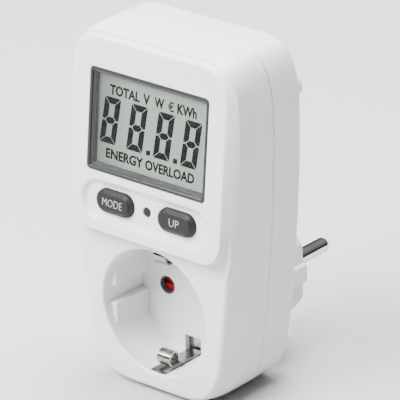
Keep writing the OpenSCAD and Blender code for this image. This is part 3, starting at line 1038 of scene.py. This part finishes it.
@dataclass
class RearShell:
    """The rear shell with the plug body, its earth channels, guide ribs and spacer bumps."""

    wall: float = 2.0
    back: float = 31.0
    edge_round: float = 2.2
    plug_r: float = 18.4
    plug_end: float = 48.7
    bump_h: float = 3.0
    bump_r: float = 3.3
    bumps_at: tuple[tuple[float, float], ...] = (
        (27, 67), (-27, 67), (21.6, -13.6), (-21.6, -13.6))

    def _tray(self, shrink: float) -> Mesh:
        """Lofts the tray of the rear shell.

        Args:
            shrink: wall thickness taken off, 0 for the outer skin.

        Returns:
            A closed mesh.
        """
        back, r, draft = self.back - shrink, self.edge_round, 0.3
        section = [(0.0, SEAM - 0.5)] if shrink else [(0.22, SEAM + 0.1), (0.0, SEAM + 0.3)]
        section += [(0.12, SEAM + 5), (draft, back - r)]
        section += arc((draft + r, back - r), r, 180, 90, 7)[1:]
        outline = OUTLINE.points(shrink)
        return skin([
            [at(p.x + n.x * inset, depth, p.y + n.y * inset) for p, n in outline]
            for inset, depth in section])

    def _plug(self) -> Mesh:
        """Makes the plug body: a round boss with side flats, guide ribs and earth channels.

        Returns:
            A closed mesh.
        """
        end, r = self.plug_end, self.plug_r
        profile = [(0, self.back - 1), (r, self.back - 1), (r, end - 0.9), (r - 0.1, end - 0.45),
                   (r - 0.4, end - 0.12), (r - 0.9, end), (0, end)]
        boss = Blank(turned(profile, 0, 0, 120))
        length = end - self.back + 4
        middle = (end + self.back) / 2 + 1
        for side in (-1, 1):
            for half in (-1, 1):
                flat = block((8, length, 16), at(side * 20.3, middle, half * 10.7), 0.35, 2)
                boss.carve(Carve.TAKE, flat)
            boss.carve(Carve.TAKE, block((4, length, 8), at(side * 20.2, middle, 0)))
            boss.carve(Carve.TAKE, block((6.2, length, 4), at(0, middle, side * 18.9)))
        return boss.mesh()

    def _bump(self, x: float, z: float) -> Mesh:
        """Makes one domed spacer bump.

        Args:
            x: its place across.
            z: its height on the wall.

        Returns:
            A closed mesh.
        """
        top, r, dome, root = self.back + self.bump_h, self.bump_r, 1.5, self.back - 1.8
        profile = [(0, root), (r, root), (r, top - 1.6)]
        for i, (across, depth) in enumerate(arc((r - dome, top - dome), dome, 0, 90, 5)):
            if i:
                profile.append((across, depth - 0.1 * (1 - i / 5)))
        return turned(profile + [(0, top)], x, z, 32)

    def build(self) -> None:
        """Builds and dresses the rear shell."""
        shell = Blank(self._tray(0.0)).carve(Carve.TAKE, self._tray(self.wall))
        lip = Blank(slab([p for p, _ in OUTLINE.points(1.1)], 16.4, 19.5))
        lip.carve(Carve.TAKE, slab([p for p, _ in OUTLINE.points(2.8)], 16, 20))
        shell.carve(Carve.JOIN, lip.mesh(), self._plug())
        shell.carve(Carve.JOIN, *(self._bump(x, z) for x, z in self.bumps_at))
        shell.carve(Carve.TAKE, turned([(0, 28), (16.2, 28), (16.2, 46.5), (0, 46.5)], 0, 0, 96))
        pin_seat = [(0, 46), (2.46, 46), (2.46, 48.45), (2.75, 48.8), (0, 48.8)]
        shell.carve(Carve.TAKE, *(turned(pin_seat, x, 0, 40) for x in (-HOLE_X, HOLE_X)))
        post = [(0, 19), (3.2, 19), (3.2, 30), (0, 30)]
        counterbore = [(0, 21), (2.5, 21), (2.5, 30.7), (2.8, 31.05), (2.8, 32), (0, 32)]
        for x, z in SCREWS_AT:
            shell.carve(Carve.JOIN, turned(post, x, z, 32))
            shell.carve(Carve.TAKE, turned(counterbore, x, z, 32))
        piece(
            shell.mesh(), "rear_housing", "shell", Body.HOUSING, ["rear_shell"])


@dataclass
class Screws:
    """Cross-head screws in the four counterbores at the back."""

    shank_r: float = 1.2
    head_r: float = 2.2

    def build(self) -> None:
        """Builds and dresses the screws as one set."""
        whole = bmesh.new()
        shank, head = self.shank_r, self.head_r
        profile = [(0, 10), (shank, 10), (shank, 21), (head, 21), (head, 22.2), (1.9, 22.6),
                   (1.2, 22.8), (0, 22.85)]
        for x, z in SCREWS_AT:
            screw = Blank(turned(profile, x, z, 32))
            for size in ((2.6, 1.6, 0.55), (0.55, 1.6, 2.6)):
                screw.carve(Carve.TAKE, block(size, at(x, 22.6, z), 0.1, 1))
            mesh = to_mesh(screw.mesh(), "screw")
            whole.from_mesh(mesh)
            bpy.data.meshes.remove(mesh)
        piece(
            whole, "housing_screw_set", "zinc", Body.HOUSING, ["housing_screws"])


# ---------------------------------------------------------------- display and keys


@dataclass
class DisplayWindow:
    """The grey bezel, the clear window, the LCD glass and everything printed on it."""

    half_w: float = 22.12
    half_h: float = 15.42
    corner: float = 1.4
    top_v: float = 20.8
    glass_w: float = 2.05
    digit_size: tuple[float, float] = (6.0, 14.0)
    digit_lefts: tuple[float, ...] = (-19.45, -9.35, 0.75, 10.85)
    digit_foot: float = -22.6
    digit_slant: float = 0.111
    bar: float = 1.95
    bar_gap: float = 0.36
    point_lefts: tuple[float, ...] = (-1.85, 8.25)
    point_size: float = 1.5

    def _bezel(self) -> None:
        """Builds the dark rim round the display."""
        steps = [(0.0, 2.0), (0.0, 0.1), (0.15, -0.05), (0.75, -0.05), (0.92, 0.08), (0.95, 0.4),
                 (0.95, 2.0)]
        piece(
            self._ring(steps), "display_bezel", "bezel", Body.HOUSING,
            ["window_frame"], 30)

    def _well(self) -> None:
        """Builds the lighter stepped wall between the bezel and the glass."""
        steps = [(0.97, 2.0), (0.97, 0.42), (1.12, 0.45), (1.14, 0.78), (1.34, 0.82), (1.36, 1.2),
                 (1.56, 1.24), (1.58, 1.68), (1.8, 1.72), (1.82, 2.0)]
        piece(
            self._ring(steps), "display_well", "well", Body.HOUSING, (), 30)

    def _ring(self, steps: Points) -> Mesh:
        """Makes a frame from its section.

        Args:
            steps: the section, as distance in from the edge and depth below the panel face.

        Returns:
            A closed mesh.
        """
        rings = []
        for inset, w in steps:
            radius = max(0.25, self.corner - inset)
            outline = rounded_loop(self.half_w - inset, self.half_h - inset * 1.2, radius, 6)
            rings.append(PANEL.ring(outline, 0, w, WINDOW_V))
        return skin(rings, closed=True)

    def _glass(self) -> None:
        """Builds the LCD cell: two bonded glasses, the back one longer."""
        front, back = (
            moved(block(size, Vector((0, self.glass_w + w, WINDOW_V)), 0.08, 1), PANEL.matrix())
            for size, w in (((43.2, 1.0, 29.4), 0.5), ((43.2, 1.02, 31.4), 1.49)))
        cell = Blank(front).carve(Carve.JOIN, back)
        piece(cell.mesh(), "display_cell", "glass", Body.HOUSING, ["lcd_cell"])

    def _window(self) -> None:
        """Builds the clear window over the glass."""
        pane = block((40.6, 0.9, 27.6), Vector((0, 0.9, WINDOW_V)), 0.15, 2)
        piece(
            moved(pane, PANEL.matrix()), "display_window", "window", Body.HOUSING,
            ["window_lens"])

    def _segments(self) -> list[Points]:
        """Draws the seven segments of a digit before its slant.

        Returns:
            The outline of each segment, from the digit's lower left corner.
        """
        (w, h), bar = self.digit_size, self.bar
        m, g = h / 2, self.bar_gap / 2
        top = [(g, h), (w - g, h), (w - bar - g * 0.4, h - bar), (bar + g * 0.4, h - bar)]
        bottom = [(g, 0), (bar + g * 0.4, bar), (w - bar - g * 0.4, bar), (w - g, 0)]
        half = bar / 2
        middle = [(g + half, m), (bar + g, m + half), (w - bar - g, m + half), (w - g - half, m),
                  (w - bar - g, m - half), (bar + g, m - half)]
        left = [
            [(0, h - g), (bar, h - bar - g), (bar, m + half + g), (half * 0.9, m + g),
             (0, m + g * 2)],
            [(0, g), (0, m - g * 2), (half * 0.9, m - g), (bar, m - half - g), (bar, bar + g)],
        ]
        right = [[(w - x, y) for x, y in outline] for outline in left]
        return [top, bottom, middle, *left, *right]

    def _digits(self) -> None:
        """Builds four slanted digits and two points as thin raised film."""
        foot, side, lean = self.top_v + self.digit_foot, self.point_size, 0.16
        shapes: list[Points] = []
        for left in self.digit_lefts:
            for outline in self._segments():
                shapes.append([(left + x + y * self.digit_slant, foot + y) for x, y in outline])
        for x in self.point_lefts:
            top = foot + side
            shapes.append([(x, foot), (x + side, foot), (x + side + lean, top), (x + lean, top)])
        bm = bmesh.new()
        for outline in shapes:
            corners = [bm.verts.new((x, self.glass_w - 0.04, v)) for x, v in outline]
            thicken(bm, [bm.faces.new(corners)])
        bmesh.ops.recalc_face_normals(bm, faces=bm.faces)
        piece(
            moved(bm, PANEL.matrix()), "display_digits", "segment", Body.HOUSING)

    def build(self) -> None:
        """Builds and dresses the display."""
        upper, lower, height = -7.8, -27.0, 3.05
        legends = [
            Lettering("TOTAL", -16.3, -5.0, upper, height),
            Lettering("V", -3.8, -1.2, upper, height),
            Lettering("W", 0.5, 4.1, upper, height),
            Lettering("€", 5.6, 7.8, upper, height, 0.05),
            Lettering("KWh", 9.0, 16.2, upper, height),
            Lettering("ENERGY", -16.8, -2.7, lower, height),
            Lettering("OVERLOAD", -1.9, 16.4, lower, height),
        ]
        self._bezel()
        self._well()
        self._glass()
        self._window()
        self._digits()
        words = bmesh.new()
        for legend in legends:
            legend.add_to(words, self.glass_w - 0.04, self.top_v)
        piece(
            moved(words, PANEL.matrix()), "display_legends", "segment", Body.HOUSING)


@dataclass(frozen=True)
class Lettering:
    """A plain word, fitted into a box on the panel."""

    word: str
    left: float
    right: float
    foot: float
    height: float
    bold: float = 0.10

    def add_to(self, bm: Mesh, w: float, origin_v: float) -> None:
        """Adds the word's flat shapes to a mesh in panel axes.

        Args:
            bm: the mesh to add to.
            w: depth of the letters' front.
            origin_v: the height that foot is measured from.
        """
        curve = bpy.data.curves.new(self.word, "FONT")
        curve.body, curve.size, curve.offset, curve.resolution_u = self.word, 3.0, self.bold, 3
        holder = put_in_scene("lettering", curve)
        graph = bpy.context.evaluated_depsgraph_get()
        mesh = bpy.data.meshes.new_from_object(holder.evaluated_get(graph))
        letters = bmesh.new()
        letters.from_mesh(mesh)
        bmesh.ops.remove_doubles(letters, verts=letters.verts, dist=1e-5)
        xs, ys = ([v.co[axis] for v in letters.verts] for axis in (0, 1))
        left, foot = min(xs), min(ys)
        grow_x = (self.right - self.left) / (max(xs) - left)
        grow_y = self.height / (max(ys) - foot)
        for v in letters.verts:
            across = self.left + (v.co.x - left) * grow_x
            v.co = Vector((across, w, origin_v + self.foot + (v.co.y - foot) * grow_y))
        thicken(letters, letters.faces[:])
        bmesh.ops.recalc_face_normals(letters, faces=letters.faces)
        letters.to_mesh(mesh)
        letters.free()
        bm.from_mesh(mesh)
        bpy.data.objects.remove(holder)
        bpy.data.curves.remove(curve)
        bpy.data.meshes.remove(mesh)


@dataclass
class LongKey:
    """A long dark key with a stepped, softly rounded top."""

    name: str
    x: float
    body: Body
    cad_node: str
    label: Lettering
    half_w: float = 6.8
    half_h: float = 3.45
    crown: float = -0.4

    def build(self) -> None:
        """Builds and dresses the key and its printed word."""
        rings = []
        for inset, w in [(-0.8, 4.3), (-0.8, 3.6), (0, 3.5), (0, 0.75), (0.05, 0.5), (0.2, 0.33),
                         (0.42, 0.27), (0.62, 0.2), (0.72, 0.0), (0.78, -0.15), (0.95, -0.3),
                         (1.25, -0.38), (1.7, self.crown)]:
            half_h = self.half_h - inset
            outline = rounded_loop(self.half_w - inset, half_h, half_h - 0.01, 12)
            rings.append(PANEL.ring(outline, self.x, w, KEY_V))
        piece(skin(rings), self.name, "key", self.body, [self.cad_node], 50)
        word = bmesh.new()
        self.label.add_to(word, self.crown - 0.03, KEY_V)
        piece(moved(word, PANEL.matrix()), f"{self.name}_word", "ink", self.body)


@dataclass
class ResetPin:
    """The small recessed reset button between the keys."""

    radius: float = 1.4
    collar_r: float = 2.1
    stem_r: float = 0.7

    def build(self) -> None:
        """Builds and dresses the pin."""
        head, collar, stem = self.radius, self.collar_r, self.stem_r
        profile = [(stem, 4.92), (stem, 4.15), (collar, 4.15), (collar, 3.55), (head, 3.5),
                   (head, 1.95), (1.3, 1.8), (1.1, 1.72), (0.6, 1.7)]
        rings = [
            PANEL.ring(rounded_loop(r, r, r - 0.001, 8), 0, w, KEY_V) for r, w in profile]
        piece(
            skin(rings), "reset_pin", "key", Body.RESET_KEY, ["reset_button"], 50)


# ---------------------------------------------------------------- socket and plug


def strip(path: Points, side: int, width: float, thickness: float) -> Mesh:
    """Bends a flat metal strip along a path of depth and distance from the socket axis.

    Args:
        path: the strip's middle line.
        side: 1 above the socket axis, -1 below it.
        width: its width.
        thickness: its thickness.

    Returns:
        A closed mesh with softened edges.
    """
    upper, lower = [], []
    for i, (d, z) in enumerate(path):
        before, after = path[max(i - 1, 0)], path[min(i + 1, len(path) - 1)]
        run = Vector((after[0] - before[0], after[1] - before[1])).normalized() * thickness / 2
        upper.append((d - run.y, z + run.x))
        lower.append((d + run.y, z - run.x))
    section = upper + lower[::-1]
    bm = skin([[at(x, d, side * z) for d, z in section] for x in (-width / 2, width / 2)])
    rim = [e for e in bm.edges if abs(e.verts[0].co.x - e.verts[1].co.x) < 1e-5]
    soften(bm, rim, 0.1, 2)
    return bm


@dataclass
class EarthClip:
    """One sprung earth clip: a strip along its slot that turns up and curls into a nose."""

    side: int
    body: Body
    cad_node: str
    name: str
    nose_depth: float = 5.7
    nose_out: float = 16.3
    nose_r: float = 2.15
    width: float = 4.8
    thickness: float = 0.55

    def build(self) -> None:
        """Builds and dresses the clip."""
        path = [(18.1, 19.0), (14.5, 19.1), (10.4, 19.0), (9.2, 18.6), (8.2, 17.9)]
        path += arc((self.nose_depth, self.nose_out), self.nose_r, 25, -250, 16)
        bent = strip(path, self.side, self.width, self.thickness)
        piece(bent, self.name, "steel", self.body, [self.cad_node])


@dataclass
class EarthStrap:
    """The fixed earth strip: a plate on the slot floor, an upright and a bar to the plug's end."""

    side: int
    cad_node: str
    name: str

    def build(self) -> None:
        """Builds and dresses the strap."""
        low, high = sorted((self.side * 13.4, self.side * 18.5))
        upright = block((5.8, 0.6, high - low), at(0, 19.25, (low + high) / 2), 0.12, 2)
        floor_path = [(1.1, 19.85), (2.7, 19.9), (3.5, 20.9), (10, 21.1), (18.6, 21.1),
                      (19.3, 20.6), (19.5, 18.6), (19.5, 17)]
        strap = Blank(block((6.0, 28.4, 0.8), at(0, 33.2, self.side * 17.35), 0.1, 2))
        strap.carve(Carve.JOIN, upright, strip(floor_path, self.side, 5.7, 0.4))
        piece(
            strap.mesh(), self.name, "steel", Body.HOUSING, [self.cad_node])


@dataclass
class HoleShadeRing:
    """A grey ring inside one contact hole, painted shade for the shadow round the hole's lip."""

    x: float
    name: str

    def build(self) -> None:
        """Builds and dresses the ring."""
        # painted shade: a grey ring where the hole's lip throws its shadow
        rim = [(0, 17.25), (2.84, 17.25), (2.84, 18.75), (0, 18.75)]
        bore = [(0, 17), (2.6, 17), (2.45, 17.7), (2.45, 19), (0, 19)]
        ring = Blank(turned(rim, self.x, 0, 40)).carve(Carve.TAKE, turned(bore, self.x, 0, 40))
        piece(ring.mesh(), self.name, "hole_shade", Body.HOUSING)


@dataclass
class ContactPin:
    """One nickel-plated plug pin with a rounded tip."""

    x: float
    name: str
    cad_node: str
    radius: float = 2.4
    tip: float = 67.7
    tip_round: float = 1.6

    def build(self) -> None:
        """Builds and dresses the pin."""
        r, end, soft = self.radius, self.tip, self.tip_round
        profile = [(0, 41.6), (1.5, 41.6), (1.5, 44.6), (3, 44.6), (3, 46.45), (2.1, 46.45),
                   (2.1, 48.7), (r, 48.7), *arc((r - soft, end - soft), soft, 0, 90, 8), (0, end)]
        piece(
            turned(profile, self.x, 0, 64), self.name, "nickel", Body.HOUSING,
            [self.cad_node])


@dataclass
class Shutter:
    """The red turning shutter behind the socket's floor, with a ramp under each hole."""

    front: float = 19.1
    thickness: float = 1.5
    arm_r: float = 13.0
    arm_half_angle: float = 18.0
    hub_r: float = 4.2

    def build(self) -> None:
        """Builds and dresses the shutter."""
        half, root = self.arm_half_angle, self.arm_half_angle * 2.6
        outline: list[tuple[float, float]] = []
        for turn in (0, 180):
            outline += arc((0, 0), self.arm_r, turn - half, turn + half, 8)
            outline += arc((0, 0), self.hub_r, turn + root, turn + 180 - root, 8)[1:-1]
        plate = Blank(slab(outline, self.front, self.front + self.thickness))
        ramp_place = Matrix.Translation((HOLE_X + 1.5, -0.55, -1.9)) @ Matrix.Rotation(
            -math.radians(18), 4, "X")
        for turn in (0, math.pi):
            place = Matrix.Translation(at(0, self.front, 0)) @ Matrix.Rotation(turn, 4, "Y")
            ramp = block((12, 1.6, 5.2), Vector((0, 0, 0)), 0.15, 2)
            plate.carve(Carve.TAKE, moved(ramp, place @ ramp_place))
        plate.carve(Carve.TAKE, turned([(0, 18), (1.55, 18), (1.55, 22), (0, 22)], 0, 0, 24))
        piece(plate.mesh(), "red_shutter", "red", Body.SHUTTER, ["shutter"])


@dataclass(frozen=True)
class HiddenParts:
    """Gives every CAD part that stays its own finish."""

    finishes: tuple[tuple[str, tuple[str, ...]], ...] = (
        ("natural", ("lcd_holder", "mode_plunger", "up_plunger", "shutter_cover",
                     "contact_block")),
        ("rubber", ("zebra_strips",)),
        ("board", ("display_board", "power_board")),
        ("black", ("switch_bodies", "controller_blob", "metering_chip", "pin_carrier")),
        ("zinc", ("crystal", "shutter_spring", "display_screws", "power_board_screws",
                  "socket_screws")),
        ("sleeve", ("backup_battery", "smoothing_capacitor")),
        ("yellow", ("dropper_capacitor",)),
        ("blue", ("varistor", "sense_leads")),
        ("resistor", ("resistors",)),
        ("cable", ("ribbon_link",)),
        ("brass", ("live_contact", "neutral_contact", "live_bar", "neutral_bar")),
        ("shunt", ("shunt",)),
        ("steel", ("earth_bridge",)),
    )

    def build(self) -> None:
        """Puts the finish on each part's material slots."""
        for finish, nodes in self.finishes:
            for node in nodes:
                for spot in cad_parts[node].material_slots:
                    spot.material = paint(finish)
                log.info("%s: dressed in %s", node, finish)


# ---------------------------------------------------------------- studio


@dataclass
class Studio:
    """A pale floor, soft lights and the camera."""

    floor_z: float = -26.25
    lens: float = 354.1
    azimuth: float = 40.84
    elevation: float = 23.75
    roll: float = -1.78
    distance: float = 1.1383
    aim: tuple[float, float, float] = (2.4, -29.4, 29.6)
    lit_spot: tuple[float, float, float] = (0, -0.02, 0.03)

    def build(self) -> None:
        """Sets up the studio."""
        self._floor()
        self._world()
        self._light("key_light", (-0.245, -0.555, 0.652), 0.55, 30.0)
        self._light("top_light", (0.0, 0.35, 1.3), 0.9, 62.0)
        self._camera()

    def _floor(self) -> None:
        """Lays the floor."""
        bm = bmesh.new()
        bmesh.ops.create_grid(bm, x_segments=2, y_segments=2, size=4.0)
        bmesh.ops.translate(bm, vec=(0, 0, self.floor_z * MM), verts=bm.verts)
        floor = put_in_scene("floor", to_mesh(bm, "floor"))
        finish = MouldedPlastic("pale_floor", (0.50, 0.50, 0.505), 0.8, 0.004, 300, 0.01)
        floor.data.materials.append(finish.make())

    @staticmethod
    def _world() -> None:
        """Lights the surroundings, dark near the horizon and brighter overhead."""
        world = bpy.data.worlds.new("studio")
        bpy.context.scene.world = world
        world.use_nodes = True
        tree = world.node_tree
        split = tree.nodes.new("ShaderNodeSeparateXYZ")
        sky = tree.nodes.new("ShaderNodeTexCoord")
        tree.links.new(sky.outputs["Generated"], split.inputs["Vector"])
        shade = tree.nodes.new("ShaderNodeValToRGB")
        levels = ((0.22, 0.03), (0.55, 0.22), (1.0, 0.40))
        set_stops(shade.color_ramp, [(up, (v * 0.98, v * 0.99, v)) for up, v in levels])
        tree.links.new(split.outputs["Z"], shade.inputs["Fac"])
        tree.links.new(shade.outputs["Color"], tree.nodes["Background"].inputs["Color"])

    def _light(
        self, name: str, place: tuple[float, float, float], size: float, power: float
    ) -> None:
        """Hangs one soft light.

        Args:
            name: the light's name.
            place: where it hangs, in metres.
            size: its side, in metres.
            power: its power in watts.
        """
        data = bpy.data.lights.new(name, "AREA")
        data.shape, data.size, data.energy = "SQUARE", size, power
        lamp = put_in_scene(name, data)
        lamp.location = place
        beam = Vector(self.lit_spot) - Vector(place)
        lamp.rotation_euler = beam.to_track_quat("-Z", "Y").to_euler()

    def _camera(self) -> None:
        """Sets the camera."""
        data = bpy.data.cameras.new("camera")
        data.lens, data.sensor_width, data.clip_start, data.clip_end = self.lens, 36.0, 0.05, 20.0
        camera = put_in_scene("camera", data)
        around, up = math.radians(self.azimuth), math.radians(self.elevation)
        back = Vector((
            math.sin(around) * math.cos(up), -math.cos(around) * math.cos(up), math.sin(up)))
        camera.location = Vector(self.aim) * MM + back * self.distance
        roll = Matrix.Rotation(math.radians(self.roll), 4, "Z")
        turn = back.to_track_quat("Z", "Y").to_matrix().to_4x4() @ roll
        camera.rotation_euler = turn.to_euler()
        bpy.context.scene.camera = camera


def main() -> None:
    """Builds the meter piece by piece."""
    logging.basicConfig(level=logging.INFO, format="%(name)s %(message)s")
    mode = Lettering("MODE", -15.3, -7.9, -1.1, 2.2, -0.07)
    up = Lettering("UP", 9.9, 13.5, -1.1, 2.2, -0.07)
    sub_assemblies = [
        Studio(),
        FrontShell(),
        RearShell(),
        Screws(),
        DisplayWindow(),
        LongKey("mode_key_cap", -KEY_X, Body.MODE_KEY, "mode_button", mode),
        LongKey("up_key_cap", KEY_X, Body.UP_KEY, "up_button", up),
        ResetPin(),
        EarthClip(1, Body.UPPER_CLIP, "upper_earth_clip", "upper_clip_strip"),
        EarthClip(-1, Body.LOWER_CLIP, "lower_earth_clip", "lower_clip_strip"),
        # rings of painted shade at the contact holes' lips
        HoleShadeRing(-HOLE_X, "left_hole_shade_ring"),
        HoleShadeRing(HOLE_X, "right_hole_shade_ring"),
        EarthStrap(1, "upper_earth_strap", "upper_strap_strip"),
        EarthStrap(-1, "lower_earth_strap", "lower_strap_strip"),
        ContactPin(-HOLE_X, "live_plug_pin", "live_pin"),
        ContactPin(HOLE_X, "neutral_plug_pin", "neutral_pin"),
        Shutter(),
        HiddenParts(),
    ]
    for sub_assembly in sub_assemblies:
        sub_assembly.build()
        log.info("%s done", type(sub_assembly).__name__)


if __name__ == "__main__":
    main()
